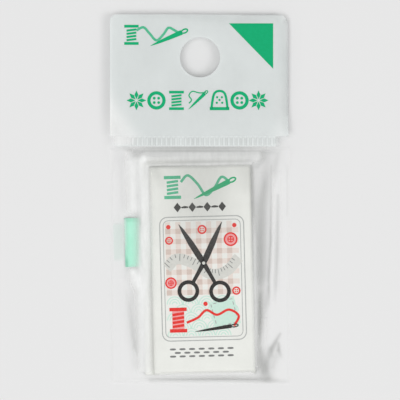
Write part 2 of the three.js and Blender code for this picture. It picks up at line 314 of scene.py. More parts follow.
def paper_material(name, light, dark, fibre_scale, bump):
    nodes = Nodes(name)
    mottle = nodes.noise(220, detail=4)
    fibre = nodes.noise(fibre_scale, detail=6, rough=0.65, stretch=(1, 0.25, 1))
    tone = nodes.plus(nodes.times(mottle, 0.6), nodes.times(fibre, 0.4))
    nodes.set(Base_Color=nodes.mix(nodes.spread(tone), linear(*dark), linear(*light)))
    nodes.set(Roughness=nodes.range(fibre, 0.62, 0.85), Specular_IOR_Level=0.3)
    nodes.bump(tone, bump, strength=0.5)
    return nodes.material


def ink_material(name, colour, worn):
    """Printing ink: the colour with a fine, slightly uneven lay."""
    nodes = Nodes(name)
    lay = nodes.noise(1500, detail=5, rough=0.7)
    nodes.set(Base_Color=nodes.mix(nodes.spread(lay, low=0.35), linear(*colour), linear(*worn)))
    nodes.set(Roughness=nodes.range(lay, 0.5, 0.7), Specular_IOR_Level=0.12)
    return nodes.material


def clear_film_material():
    """Clear film: see-through, with painted shade and painted light where its lines say so, and a painted
    sheen at a slant.
    """
    nodes = Nodes("clear film")
    dark = nodes.attribute("dark")
    marked = nodes.plus(dark, nodes.attribute("pale"))
    grain = nodes.noise(900, detail=4, rough=0.6, stretch=(1, 0.3, 1))
    share = nodes.math("DIVIDE", dark, nodes.plus(marked, FILM_PALENESS))
    nodes.set(Base_Color=nodes.mix(share, FILM_WHITE_AND_PAINTED_LIGHT, FILM_PAINTED_SHADE))
    slant = nodes.add("ShaderNodeLayerWeight", {"Blend": 0.5})["Facing"]
    sheen = nodes.times(nodes.math("POWER", slant, SHEEN_POWER), FILM_SHEEN)
    cover = nodes.times(nodes.plus(marked, sheen), nodes.range(grain, 0.8, 1.2))
    nodes.set(Alpha=nodes.plus(cover, FILM_COVER, clamp=True))
    rough = nodes.plus(nodes.range(grain, 0.1, 0.22), nodes.times(marked, CREASE_ROUGH), clamp=True)
    nodes.set(Roughness=rough, Specular_IOR_Level=0.5)
    nodes.bump(grain, 0.02, strength=0.3)
    return nodes.material


def header_material():
    """White satin film with faint drawn-out streaks, clear where its white doesn't cover it, darker with
    painted shade and paler with painted light.
    """
    nodes = Nodes("white film")
    cloud = nodes.noise(90)
    streak = nodes.noise(500, detail=4, rough=0.6, stretch=(1, 0.15, 1))
    tone = nodes.plus(nodes.times(cloud, 0.7), nodes.times(streak, 0.3))
    base = nodes.mix(nodes.spread(tone), HEADER_SHADE, HEADER_LIGHT)
    base = nodes.mix(nodes.attribute("pale"), base, HEADER_PAINTED_LIGHT)
    nodes.set(Base_Color=nodes.mix(nodes.attribute("dark"), base, HEADER_DARK))
    nodes.set(Alpha=nodes.times(nodes.attribute("cover"), nodes.range(cloud, 0.94, 1.06)))
    nodes.set(Roughness=nodes.range(streak, 0.3, 0.48), Specular_IOR_Level=0.4)
    nodes.bump(tone, 0.05, strength=0.4)
    return nodes.material


def slip_material():
    """Mint film, thin enough to show what lies behind it, darker where shade is painted."""
    nodes = Nodes("mint film")
    cloud = nodes.noise(350)
    base = nodes.mix(nodes.spread(cloud), MINT_SHADE, MINT_LIGHT)
    nodes.set(Base_Color=nodes.mix(nodes.attribute("dark"), base, MINT_PAINTED_SHADE))
    nodes.set(Alpha=nodes.attribute("cover"))
    nodes.set(Roughness=nodes.range(cloud, 0.42, 0.56), Specular_IOR_Level=0.3)
    return nodes.material


def metal_material(name, light, dark, roughness):
    """Polished metal with fine lines along its length."""
    nodes = Nodes(name)
    lines = nodes.noise(4000, rough=0.6, stretch=(1, 0.02, 1))
    nodes.set(Base_Color=nodes.mix(lines, (*dark, 1), (*light, 1)), Metallic=1.0)
    nodes.set(Roughness=nodes.range(lines, roughness * 0.7, roughness * 1.3))
    nodes.bump(lines, 0.004, strength=0.3)
    return nodes.material


film = clear_film_material()
white_film = header_material()
mint_film = slip_material()
packet_paper = paper_material("packet paper", (236, 237, 232), (228, 229, 224), 2600, 0.02)
leaf_paper = paper_material("leaf paper", (240, 236, 222), (226, 221, 205), 3000, 0.04)
band_paper = paper_material("band paper", (246, 244, 236), (234, 231, 221), 3000, 0.03)
steel = metal_material("needle steel", (0.8, 0.8, 0.78), (0.66, 0.66, 0.65), 0.16)
gold = metal_material("gold eye", (1.0, 0.76, 0.33), (0.88, 0.62, 0.22), 0.18)
inks = {name: ink_material(name + " ink", *colours) for name, colours in INKS.items()}


# Clear film pouch

SIDE_SEAM = 0.6
SEAM_PALE = 0.1
SEAM_BLUR = 0.2
FOOT_SEAM = 0.55
FOOT_RISE = 1.37
FILM_LIFT = 1.0
FOLD_HALF = 0.5
FILM_GRID = (181, 237)
BACK_GRID = (61, 81)
BACK_LIFT = 0.08
BACK_WAVE = 0.03
BACK_EDGE = 1.0
# The front film over the slip and the packet
PANEL_LEFT = 2.04
PANEL_RIGHT = 0.27
RIGHT_SLOPE = 3.1
SLOPE_FOOT = 0.1
LANE_LEFT = 1.6
LANE_RIGHT = 5.2
LANE_SLOPE = 0.75
FLAP_RISE = 0.4
ROLL_RISE = 0.2
SECTION_BLUR = 0.35
ceiling = front_high[2] - 0.075
seam_z = front_low[2] + 0.05
# How far the film stands up at ripples and creases, and how near its edges it is free to
FILM_BULGE = 0.12
CREASE_LIFT = 0.35
DARK_LIFT = 0.6
FREE_SIDE = 1.2
FREE_TOP = 2.5
# Ripples as (scale, seed)
FILM_RIPPLE = (6, 3.7)
BACK_RIPPLE = (7, 9.1)

# Painted shade and painted light along lines, which also lift the film: points of a line as (px, py, half
# width in pixels, strength)
PAINTED_SHADE_LINES = {
    "valley": [
        (267, 160, 5, 0.08), (264, 185, 5, 0.26), (261, 205, 6, 0.3), (260, 240, 6, 0.36),
        (260, 276, 5, 0.4), (260, 288, 3.4, 0.3), (259.5, 302, 2.4, 0.6), (259.5, 320, 2.4, 0.64),
        (258.5, 345, 2.2, 0.3), (262, 366, 6, 0.32), (267, 377, 6, 0.2)],
    "valley side": [(268, 288, 2.5, 0.1), (266, 304, 3, 0.16), (264, 318, 2.5, 0.06)],
    "right foot": [(275, 352, 3, 0.04), (275, 357, 4, 0.13), (273, 368, 4, 0.08)],
    "packet's top left": [(154, 170, 6, 0.13), (160, 182, 6, 0.05)],
    "packet's top right": [(230, 158, 8, 0.02), (246, 165, 9, 0.12), (247, 186, 8, 0.08)],
    "packet's right edge": [(251, 166, 1.4, 0.28), (252, 205, 2, 0.2), (254, 230, 2, 0.02)],
    "inner fold": [
        (271, 165, 1, 0.12), (270.5, 240, 1.2, 0.32), (268.5, 280, 1.4, 0.3), (269, 305, 1, 0.05)],
    "outer fold": [
        (278, 195, 1.4, 0.14), (277, 250, 2, 0.22), (275.5, 285, 1.8, 0.18), (275, 305, 1, 0.02)],
    "right seam": [(287, 165, 0.9, 0.06), (287, 215, 0.9, 0.06)],
    "left foot": [
        (124, 284, 1.6, 0.02), (128, 305, 2.6, 0.16), (130.5, 325, 2.8, 0.2), (134.5, 348, 2.2, 0.26),
        (138, 354, 2, 0.05)],
    "packet's left edge": [(138.5, 176, 1, 0.08), (138.5, 216, 1, 0.1)],
    "slanting fold": [
        (280, 334, 1.5, 0.16), (271, 350, 2.8, 0.38), (268, 360, 3, 0.16), (263, 372, 3, 0.1)],
    "short fold": [(278.5, 344, 1.6, 0.2), (278.5, 350, 1.8, 0.34), (281, 358, 2, 0.06)],
    "foot": [
        (150, 380, 2.4, 0.12), (200, 379.5, 2.4, 0.24), (222, 379, 2.4, 0.28), (262, 380, 3, 0.2),
        (287, 382, 2, 0.05)],
    "below the crimp": [
        (128, 149, 2, 0.08), (136, 150, 2.4, 0.17), (160, 149.5, 2.2, 0.22), (180, 150, 2, 0.15),
        (200, 150.4, 2, 0.12), (240, 151, 2.3, 0.12), (262, 151.5, 3, 0.2), (272, 151.5, 3, 0.18),
        (279, 151, 2, 0.05)],
    "crimp's left end": [
        (124, 148, 2, 0.12), (132, 152, 2.4, 0.16), (138, 156, 2, 0.2), (141, 160, 2, 0.08)],
    "crimp's right end": [
        (280, 150, 2, 0.03), (277, 154, 2.6, 0.13), (275.5, 161, 3, 0.15), (275, 174, 3, 0.1),
        (275, 184, 2, 0.02)],
    "crimp to packet": [(262, 157, 3, 0.12), (257, 166, 2.5, 0.14)],
    "packet's top": [(142, 157, 5, 0.1), (200, 157, 5.5, 0.12), (262, 157, 5.5, 0.1)],
    "over the print": [
        (200, 172, 38, 0.2), (200, 205, 38, 0.17), (200, 235, 36, 0.05), (200, 255, 30, 0.0)],
}
PAINTED_LIGHT_LINES = {
    "inside the fold": [
        (273.5, 170, 1.1, 0.1), (273.5, 186, 1.1, 0.3), (273.5, 230, 1.2, 0.28), (273, 300, 1, 0.08)],
    "outside the fold": [(280, 170, 1, 0.1), (280, 186, 1, 0.24), (281, 230, 1, 0.2), (279, 290, 1, 0.04)],
    "valley side": [(266, 318, 1.2, 0.2), (264, 350, 1, 0.16)],
    "right foot": [(276, 352, 1.2, 0.12), (272, 368, 1.2, 0.1)],
    "left margin": [
        (141, 161, 6, 0.66), (143, 190, 6.8, 0.76), (143.5, 225, 7, 0.8), (143.5, 252, 7, 0.8),
        (144.5, 300, 7, 0.68), (146, 368, 6, 0.55)],
    "top margin": [(144, 157, 4.5, 0.55), (200, 156.5, 5.5, 0.6), (256, 156.5, 5.5, 0.55)],
    "panel's top": [(150, 164.5, 1.6, 0.4), (200, 164, 1.8, 0.5), (250, 163, 1.8, 0.4)],
    "below the crimp": [(146, 152, 2.2, 0.16), (200, 152.5, 2.2, 0.2), (258, 152, 2.2, 0.16)],
    "panel's right": [
        (253, 215, 1.6, 0.1), (254, 240, 2.2, 0.4), (254.5, 300, 2.4, 0.4), (255.5, 366, 2.2, 0.35)],
    "panel's foot": [(160, 373.5, 1.6, 0.3), (200, 373, 1.8, 0.45), (250, 372, 1.8, 0.4)],
    "packet's left edge": [(138, 270, 4, 0.02), (138.5, 285, 4.5, 0.4), (140, 368, 4.5, 0.42)],
    "slip's left edge": [(124, 220, 1.8, 0.34), (124.6, 242, 1.7, 0.3), (124.4, 256, 1.2, 0.05)],
}
# Painted light on places of the film that don't stand up, in the same form
PAINTED_LIGHT_PATCHES = {
    "above the slip": [(128, 153, 5, 0.3), (130, 162, 7, 0.62), (131.5, 176, 7, 0.66), (132, 207, 7, 0.66)],
    "below the slip": [(132.5, 272, 4.5, 0.75), (134, 279, 6, 0.6), (136, 292, 4, 0.05)],
    "panel's left": [
        (147, 166, 2, 0.32), (147.5, 190, 2, 0.24), (148.5, 212, 2, 0.18), (149, 252, 1.6, 0.2),
        (149.5, 275, 1.2, 0.02)],
    "by the slip": [(139.5, 226, 2, 0.08), (140, 255, 2.2, 0.15), (139, 270, 3, 0.24), (138, 276, 3, 0.1)],
}


def line_strengths(x, y, creases):
    """How strongly the lines of a table mark each point."""
    total = np.zeros_like(x)
    for crease in creases.values():
        points = np.array([(*spot(px, py), width * PIXEL, strength) for px, py, width, strength in crease])
        best = np.zeros_like(x)
        for start, end in zip(points[:-1], points[1:]):
            run = end[:2] - start[:2]
            share = ((x - start[0]) * run[0] + (y - start[1]) * run[1]) / (run @ run)
            share = np.clip(share, 0, 1)
            gap = np.hypot(x - start[0] - share * run[0], y - start[1] - share * run[1])
            width, strength = (start[i] + share * (end[i] - start[i]) for i in (2, 3))
            best = np.maximum(best, soft_line(gap, strength, 0, width))
        total += best
    return total


def film_section(x):
    """Height of the front film, from left to right across the pack."""
    panel_left, panel_right = sleeve_low[0] + PANEL_LEFT, sleeve_high[0] + PANEL_RIGHT
    lane_left, lane_right = slip_low[0] + LANE_LEFT, slip_low[0] + LANE_RIGHT
    flap_z, roll_z = slip_low[2] + FLAP_RISE, slip_high[2] + ROLL_RISE
    xs = [-pack_half, SIDE_SEAM - pack_half, lane_left - LANE_SLOPE, lane_left, lane_right,
          panel_left, panel_right, panel_right + RIGHT_SLOPE, pack_half]
    zs = [seam_z, flap_z, flap_z, roll_z, roll_z, ceiling, ceiling, seam_z + SLOPE_FOOT, seam_z]
    steps = np.linspace(-SECTION_BLUR, SECTION_BLUR, 9)
    return np.mean([np.interp(x + step, xs, zs) for step in steps], axis=0)


def film_height(x, y):
    rise = ease(pack_foot + FOOT_SEAM, pack_foot + FOOT_SEAM + FOOT_RISE, y)
    z = seam_z + (film_section(x) - seam_z) * rise
    lift = ease(mouth_y - FILM_LIFT, hinge_y - FOLD_HALF, y)
    return z + (hinge_z - z) * lift


def pack_grid(size, low, high):
    """A grid as wide as the pack, of some columns and rows, from low to high."""
    return grid(np.linspace(-pack_half, pack_half, size[0]), np.linspace(low, high, size[1]))


def make_pouch():
    top = hinge_y - FOLD_HALF
    x, y, faces = pack_grid(FILM_GRID, pack_foot, top)
    side, foot = pack_half - np.abs(x), y - pack_foot
    # The dark tone is painted shade and the pale tone painted light; both also lift the film
    dark = line_strengths(x, y, PAINTED_SHADE_LINES)
    pale = line_strengths(x, y, PAINTED_LIGHT_LINES)
    # The seams' own haze
    pale += SEAM_PALE * ease(SIDE_SEAM + SEAM_BLUR, SIDE_SEAM - SEAM_BLUR, np.minimum(side, foot))
    free = ease(0, FREE_SIDE, side) * ease(0, FREE_SIDE, foot) * ease(0, FREE_TOP, top - y)
    bulge = FILM_BULGE * (1 + ripple(x, y, *FILM_RIPPLE)) / 2 + CREASE_LIFT * (DARK_LIFT * dark + pale)
    z = film_height(x, y) + bulge * free
    front = make_object("pouch_front", zip(x, y, z), faces, [film], "pouch")
    # Patches of painted light that don't lift the film
    add_tones(front, dark=dark, pale=pale + line_strengths(x, y, PAINTED_LIGHT_PATCHES))
    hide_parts("pouch_front_film")

    x, y, faces = pack_grid(BACK_GRID, pack_foot, mouth_y)
    z = back_low[2] + BACK_LIFT + BACK_WAVE * ripple(x, y, *BACK_RIPPLE)
    z = seam_z + (z - seam_z) * ease(0, BACK_EDGE, np.minimum(pack_half - np.abs(x), y - pack_foot))
    back = make_object("pouch_back", zip(x, y, z), faces, [film], "pouch")
    add_tones(back, dark=np.zeros_like(x), pale=np.zeros_like(x))
    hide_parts("pouch_back_film")


# White header

HOLE_RADIUS = 5.0
HOLE_FROM_TOP = 10.75
HOLE_SIDES = 96
HOLE_MARGIN = 0.35
EDGE_MARGIN = 0.4
HEADER_STEP = 0.75
LAYER_GAP = 0.2
RIGHT_CORNER = 2.5
LEFT_CORNER = 1.6
RIGHT_INSET = 0.4
RIGHT_CURL = 1.9
CURL_REACH = 4.0
CURL_RISE = 8.0
LEFT_DROOP = 0.15
RIGHT_DROOP = 1.0
DROOP_REACH = 3.0
DROOP_FROM = (-12, 16)
HEADER_WAVE = 0.05
WAVE_RISE = 3.0
HEADER_RIPPLE = (9, 5.3)
CRIMP_START = 0.45
CRIMP_LENGTH = 2.3
CRIMP_GAP = 0.3
RIB_PITCH = 1.2
RIB_HEIGHT = 0.12
panel_start = hinge_y + CRIMP_START + CRIMP_LENGTH + CRIMP_GAP
front_z = header_high[2] - RIB_HEIGHT
hole_middle = (0, header_top - HOLE_FROM_TOP)
right_edge = pack_half - RIGHT_INSET

# Tones of the header. A strip is a soft line as (strength, middle, width), and its fade from and to
HEADER_COVER = 0.62
CORNER_COVER = 0.36
# Painted light on the lower left corner
CORNER_PAINTED_LIGHT = 0.85
CORNER_WIDTH = 6.0
CORNER_HEIGHT = 9.0
CORNER_COVER_FADE = (0.2, 1.05)
CORNER_LIGHT_FADE = (1.6, 0.6)
# A painted highlight along the left edge, where the white covers more
LEFT_EDGE_HIGHLIGHT = ((0.25, 0.15 - pack_half, 0.2), (panel_start + 2, panel_start + 6))
# Painted shade along the curled right edge and along the left part of the top edge
RIGHT_SHADE = ((0.12, right_edge - 0.6, 0.5), (41, 34))
TOP_SHADE = ((0.08, header_top - 0.3, 0.9), (8, -4))
TOP_SHADE_START = (-20, -17)
# A broad darker patch at the upper left
LEFT_SHADE_X = (0.07, -13, 8)
LEFT_SHADE_Y = (1, 34, 10)
# Painted light on the curled right edge and along the top right
LOW_PAINTED_LIGHT = ((0.3, 20.2, 1.6), (31, 27))
HIGH_PAINTED_LIGHT = ((0.4, 22.4, 1.3), (35, 41))
TOP_PAINTED_LIGHT = ((0.25, header_top, 0.9), (2, 12))

# The crimp: its ribs, how far its white covers the film, its darker sealed band with painted shade in the
# grooves between ribs, and painted light at its left end
CRIMP_GRID = (361, 22)
CRIMP_FILM = 0.1
RIB_EDGE = (-0.35, 0.6)
RIB_DIP = 0.05
RIB_ALONG = ((hinge_y + CRIMP_START, hinge_y + CRIMP_START + 0.4), (panel_start, panel_start - 0.6))
RIB_ACROSS = ((-20.5, -17.0), (pack_half, pack_half - 1.6))
CRIMP_COVER = 0.86
CRIMP_END_COVER = 0.55
CRIMP_SPAN = ((-pack_half - 0.5, -pack_half + 2.5), (19.5, 18.5))
SEALED_SPAN = ((-19.0, -16.0), (20.6, 18.8))
CRIMP_LIGHT_FADE = (-14.5, -18)
CRIMP_LIGHT_RISE = 1.2
CRIMP_SHADE = 0.12
GROOVE_SHADE = 0.36
GROOVE_MEAN = 0.65
GROOVE_SPREAD = 0.6
GROOVE_RIPPLE = (3.1, 8.2)
SHADE_EASE = 0.25
SHADE_EASE_FADE = (10, 15)

# The film that bends below the crimp, with painted shade and painted light in its colour
FOLD_GRID = (181, 9)
FOLD_RISE = 1.2
FOLD_SHADE = 0.05
FOLD_PAINTED_LIGHT = 0.2
FOLD_SPAN = ((-20, -15), (21, 16))


def header_surface(x, y):
    """Height of the header's printed face."""
    curl = RIGHT_CURL * np.clip((x - right_edge + CURL_REACH) / CURL_REACH, 0, 1) ** 2
    curl *= ease(panel_start, panel_start + CURL_RISE, y)
    droop = LEFT_DROOP + (RIGHT_DROOP - LEFT_DROOP) * ease(*DROOP_FROM, x)
    droop *= np.clip((y - header_top + DROOP_REACH) / DROOP_REACH, 0, 1) ** 2
    wave = HEADER_WAVE * (1 + ripple(x, y, *HEADER_RIPPLE))
    return front_z - np.hypot(curl, droop) + wave * ease(panel_start, panel_start + WAVE_RISE, y)


def strip(across, along, line, fade):
    return soft_line(across, *line) * ease(*fade, along)


def header_tones(x, y):
    """How far the white covers the film, where shade and light are painted into it, and a darker patch at the
    upper left.
    """
    corner = (x + pack_half) / CORNER_WIDTH + (y - panel_start) / CORNER_HEIGHT
    cover = CORNER_COVER + (HEADER_COVER - CORNER_COVER) * ease(*CORNER_COVER_FADE, corner)
    # A painted highlight along the left edge
    cover += strip(x, y, *LEFT_EDGE_HIGHLIGHT)
    # Painted shade along the top and right edges, and a darker patch at the upper left
    top = strip(y, x, *TOP_SHADE) * ease(*TOP_SHADE_START, x)
    left = soft_line(x, *LEFT_SHADE_X) * soft_line(y, *LEFT_SHADE_Y)
    dark = np.maximum.reduce([strip(x, y, *RIGHT_SHADE), top, left])
    # Painted light on the lower left corner, the curled right edge and the top right
    pale = CORNER_PAINTED_LIGHT * ease(*CORNER_LIGHT_FADE, corner)
    pale += strip(x, y, *LOW_PAINTED_LIGHT) + strip(x, y, *HIGH_PAINTED_LIGHT) + strip(y, x, *TOP_PAINTED_LIGHT)
    return {"cover": cover, "dark": dark, "pale": np.minimum(pale, 1)}


def header_sheet():
    """The header's outline round its hang hole, in triangles fine enough to bend."""
    step = HEADER_STEP
    right_x, right_y = right_edge - RIGHT_CORNER, header_top - RIGHT_CORNER
    left_x, left_y = LEFT_CORNER - pack_half, header_top - LEFT_CORNER
    outline = [(x, panel_start) for x in np.arange(-pack_half, right_edge, step)]
    outline += [(right_edge, y) for y in np.arange(panel_start, right_y, step)]
    outline += arc((right_x, right_y), RIGHT_CORNER, np.arange(0, 90, 9))
    outline += [(x, header_top) for x in np.arange(right_x, left_x, -step)]
    outline += arc((left_x, left_y), LEFT_CORNER, np.arange(90, 180, 15))
    outline += [(-pack_half, y) for y in np.arange(left_y, panel_start + step / 2, -step)]
    hole = circle(hole_middle, HOLE_RADIUS, HOLE_SIDES)
    inner = []
    for y in np.arange(panel_start + step, header_top - EDGE_MARGIN, step):
        for x in np.arange(-pack_half + step, right_edge - EDGE_MARGIN, step):
            corner = x > right_x and y > right_y
            if math.dist((x, y), hole_middle) > HOLE_RADIUS + HOLE_MARGIN and not corner:
                inner.append((x, y))
    flat, faces = fill([outline, hole], inner)
    return flat, [face for face in faces if math.dist(flat[face].mean(0), hole_middle) > HOLE_RADIUS]


def header_piece(name, verts, faces, thickness, tones, under):
    """A closed piece of the white film, with its tones above, and under times its tones below."""
    obj = make_object(name, *closed_sheet(verts, faces, thickness), [white_film], "header")
    add_tones(obj, **{tone: np.concatenate([values, under * values]) for tone, values in tones.items()})
    obj.data.set_sharp_from_angle(angle=SHARP)
    return obj


def fold_height(y):
    return hinge_z + (front_z - hinge_z) * ease(hinge_y, hinge_y + FOLD_RISE, y)


def make_header():
    flat, faces = header_sheet()
    x, y = flat.T
    verts = zip(x, y, header_surface(x, y))
    panel = header_piece("header_panel", verts, faces, LAYER_GAP, header_tones(x, y), 1)
    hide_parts("header_front_film", "header_back_film")

    foot = hinge_y + FOLD_HALF
    x, y, faces = pack_grid(CRIMP_GRID, foot, panel_start)
    rib = ease(*RIB_EDGE, np.cos(x / RIB_PITCH * 2 * math.pi))
    along = span(y, *RIB_ALONG)
    z = fold_height(y) + (RIB_HEIGHT * rib - RIB_DIP * (1 - rib)) * along * span(x, *RIB_ACROSS)
    sealed = span(x, *SEALED_SPAN)
    cover = CRIMP_END_COVER * span(x, *CRIMP_SPAN) + (CRIMP_COVER - CRIMP_END_COVER) * sealed
    depth = GROOVE_MEAN + GROOVE_SPREAD * ripple(x, 0 * x, *GROOVE_RIPPLE)
    # Darker over the sealed band, with painted shade in the grooves between the ribs
    shade = (CRIMP_SHADE + GROOVE_SHADE * (1 - rib) * depth * along) * sealed
    shade *= 1 - SHADE_EASE * ease(*SHADE_EASE_FADE, x)
    # Painted light at the crimp's left end
    white = ease(*CRIMP_LIGHT_FADE, x) * ease(foot, foot + CRIMP_LIGHT_RISE, y)
    tones = {"cover": cover, "dark": shade, "pale": white}
    header_piece("header_crimp", zip(x, y, z), faces, CRIMP_FILM, tones, 0)

    x, y, faces = pack_grid(FOLD_GRID, hinge_y - FOLD_HALF, foot)
    fold = make_object("header_fold_film", zip(x, y, fold_height(y)), faces, [film])
    # Its dark tone is painted shade, its pale tone painted light
    add_tones(fold, dark=FOLD_SHADE + line_strengths(x, y, PAINTED_SHADE_LINES),
              pale=FOLD_PAINTED_LIGHT * span(x, *FOLD_SPAN) + line_strengths(x, y, PAINTED_LIGHT_LINES))
    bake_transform(fold)


# Paper packet

PAPER = 0.22
LEAF_WIDTH = 24.06
LEAF_LENGTH = 49.7
LEAF_CLEARANCE = 0.7
LEAF_FOOT = 0.8
PACKET_LIP = 1.7
FOLD_RADIUS = 0.9
FOOT_RADIUS = 1.1
FOOT_OPENING = 0.05
CROWN = 0.1
CROWN_BASE = 0.08
CROWN_RISE = 8.0
BACK_SIDE = 2.3
BACK_TOP = 2.5
SIDE_LIFT = 0.25
TOP_LIFT = 0.2
panel_half = LEAF_WIDTH / 2 + LEAF_CLEARANCE
panel_foot = -LEAF_LENGTH / 2 - LEAF_FOOT
panel_top = LEAF_LENGTH / 2 + PACKET_LIP
packet_bottom, packet_top = sleeve_low[2], sleeve_high[2]


def packet_face(u, v):
    """Height of the packet's front panel: a slight crown that eases off to the edges."""
    crown = (1 - (u / panel_half) ** 4) * ease(panel_foot, panel_foot + CROWN_RISE, v)
    return packet_top - CROWN_BASE + CROWN * crown


def make_packet():
    # The wrap's section as (u, height): up the right fold, over the front, down the left edge
    tall = packet_top - packet_bottom
    side, shoulder = panel_half - FOLD_RADIUS, tall - FOLD_RADIUS
    path = arc((side, FOLD_RADIUS), FOLD_RADIUS, np.linspace(-90, 0, 9))
    path += arc((side, shoulder), FOLD_RADIUS, np.linspace(0, 90, 9))
    path += [(u, tall) for u in np.linspace(side, -side, 49)[1:-1]]
    path += arc((-side, shoulder), FOLD_RADIUS, np.linspace(90, 180, 9))
    path = np.array(path + [(-panel_half, PAPER)])
    foot = panel_foot + FOOT_RADIUS * (1 - np.cos(np.radians(np.linspace(0, 90, 10))))
    rows = np.concatenate([foot, np.linspace(panel_foot + FOOT_RADIUS, panel_top, 56)[1:]])
    u, v, faces = grid(path[:, 0], rows)
    share = np.tile(path[:, 1] / tall, len(rows))
    round_foot = np.clip((v - panel_foot) / FOOT_RADIUS, 0, 1)
    fullness = np.maximum(np.sqrt(1 - (1 - round_foot) ** 2), FOOT_OPENING)
    z = packet_bottom + PAPER + (packet_face(u, v) - packet_bottom - PAPER) * share * fullness
    z = np.where(share * tall < PAPER, packet_bottom + share * tall, z)
    wrap = make_object("packet_wrap", zip(*packet_to_pack(u, v), z), faces, [packet_paper], "packet")
    thicken(wrap, PAPER, 1.0)

    us = np.linspace(-panel_half - BACK_SIDE, side, 40)
    u, v, faces = grid(us, np.linspace(panel_foot, panel_top + BACK_TOP, 80))
    z = packet_bottom + PAPER + SIDE_LIFT * ease(-panel_half, -panel_half - BACK_SIDE, u)
    z += TOP_LIFT * ease(panel_top, panel_top + BACK_TOP, v)
    back = make_object("packet_back", zip(*packet_to_pack(u, v), z), faces, [packet_paper], "packet")
    thicken(back, PAPER, -1.0)
    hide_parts("packet_sleeve")


# Mint slip

SLIP_FOOT = 27.3
SLIP_HEIGHT = 12.25
SLIP_TUCK = 9.0
SLIP_CLEARANCE = 0.25
SLIP_LIFT = 0.1
SLIP_SAG = 0.04
SAG_TURN = 2.2 * math.pi
SAG_START = 0.5
ROLL_WIDTH = 3.9
ROLL_FULLNESS = 0.85
ROLL_SHARE = 0.45
ROLL_LEVEL = 0.05
ROLL_COVER = 0.985
TUCK_COVER = 0.92
FLAP_LENGTH = 2.9
FLAP_COVER = 0.1
FLAP_START = 0.05
FLAP_FADE = (0.1, 0.7)
FLAP_SPAN = ((0.1, 0.2), (0.93, 0.85))
# Painted shade along the slip's top edge and at the lower left of its roll
HEM_SHADE = 0.4
HEM_FADE = (0.9, 0.95)
NOTCH_SHADE = (0.7, 0.35, 0.3)
NOTCH_SHADE_FADE = (0.27, 0.08)


def make_slip():
    right = -panel_half - BACK_SIDE - SLIP_CLEARANCE
    middle, half = right - ROLL_WIDTH / 2, ROLL_WIDTH / 2
    left = middle - half
    flat_z = slip_low[2] + SLIP_LIFT
    tall = ROLL_SHARE * (slip_high[2] - flat_z)
    # The slip's section as (u, height, cover): behind the packet, over the roll, along the flap
    path = [(right + SLIP_TUCK * share, 0.0, TUCK_COVER) for share in np.linspace(1, 0.05, 14)]
    for aside, up in arc((0, 0), 1, np.linspace(0, 180, 33)):
        across = math.copysign(abs(aside) ** ROLL_FULLNESS, aside)
        path.append((middle + half * across, tall * up ** ROLL_FULLNESS, ROLL_COVER))
    path += [(left - FLAP_LENGTH * share, 0.0, FLAP_COVER) for share in np.linspace(0.06, 1, 10)]
    path = np.array(path)
    rows = np.linspace(panel_foot + SLIP_FOOT, panel_foot + SLIP_FOOT + SLIP_HEIGHT, 43)
    u, v, faces = grid(path[:, 0], rows)
    height, cover = (np.tile(path[:, i], len(rows)) for i in (1, 2))
    share = (v - rows[0]) / SLIP_HEIGHT
    z = flat_z + height * (1 - SLIP_SAG * np.sin(share * SAG_TURN + SAG_START) ** 2)
    slip = make_object("slip", zip(*packet_to_pack(u, v), z), faces, [mint_film], "slip")
    # Painted shade along the top edge and at the lower left of the roll
    dark = HEM_SHADE * ease(*HEM_FADE, share)
    dark += soft_line(u - left, *NOTCH_SHADE) * ease(*NOTCH_SHADE_FADE, share)
    flap = FLAP_COVER * span(share, *FLAP_SPAN) * (1 + ease(*FLAP_FADE, left - u)) / 2
    cover = np.where(left - u > FLAP_START, flap, cover)
    add_tones(slip, dark=np.clip(dark * (height > ROLL_LEVEL), 0, 1), cover=cover)
    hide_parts("mint_slip")


# Needles, leaf and bands

NEEDLE_LENGTH = 33.3
NEEDLE_RADIUS = 0.355
NEEDLE_SIDES = 24
POINT_LENGTH = 12.0
POINT_SWELL = 0.8
POINT_EASE = 1.6
GOLD_LENGTH = 7.5
EYE_TOP = 0.8
EYE_LENGTH = 1.5
EYE_WIDTH = 0.3
GUTTER_LENGTH = 4.2
GUTTER_WIDTH = 0.44
GUTTER_DEPTH = 0.1
GUTTER_SIDES = 16
WELD = 2e-6


def lathe(profile, sides):
    """A closed turned mesh about Y from (radius, y) pairs that start and end on the axis."""
    verts, faces = [(0, profile[0][1], 0)], []
    for radius, y in profile[1:-1]:
        verts += [(x, y, z) for x, z in circle((0, 0), radius, sides)]
    verts.append((0, profile[-1][1], 0))
    last = len(verts) - 1
    end = last - sides
    for side in range(sides):
        after = (side + 1) % sides
        faces.append((0, 1 + side, 1 + after))
        for a in range(1, end, sides):
            faces.append((a + side, a + sides + side, a + sides + after, a + after))
        faces.append((end + after, end + side, last))
    return verts, faces


def cut(obj, verts, faces):
    cutter = make_object("cutter", verts, faces, [])
    modifier = obj.modifiers.new("cut", "BOOLEAN")
    modifier.operation = "DIFFERENCE"
    modifier.solver = "EXACT"
    modifier.object = cutter
    bpy.context.view_layer.update()
    done = bpy.data.meshes.new_from_object(obj.evaluated_get(bpy.context.evaluated_depsgraph_get()))
    obj.modifiers.clear()
    obj.data = done
    bpy.data.objects.remove(cutter)


def clean(mesh):
    """Joins the points that cutting left close together, and drops what has no area."""
    shape = bmesh.new()
    shape.from_mesh(mesh)
    bmesh.ops.remove_doubles(shape, verts=shape.verts, dist=WELD)
    bmesh.ops.dissolve_degenerate(shape, edges=shape.edges, dist=WELD)
    bmesh.ops.triangulate(shape, faces=[face for face in shape.faces if len(face.verts) > 4])
    shape.to_mesh(mesh)
    shape.free()


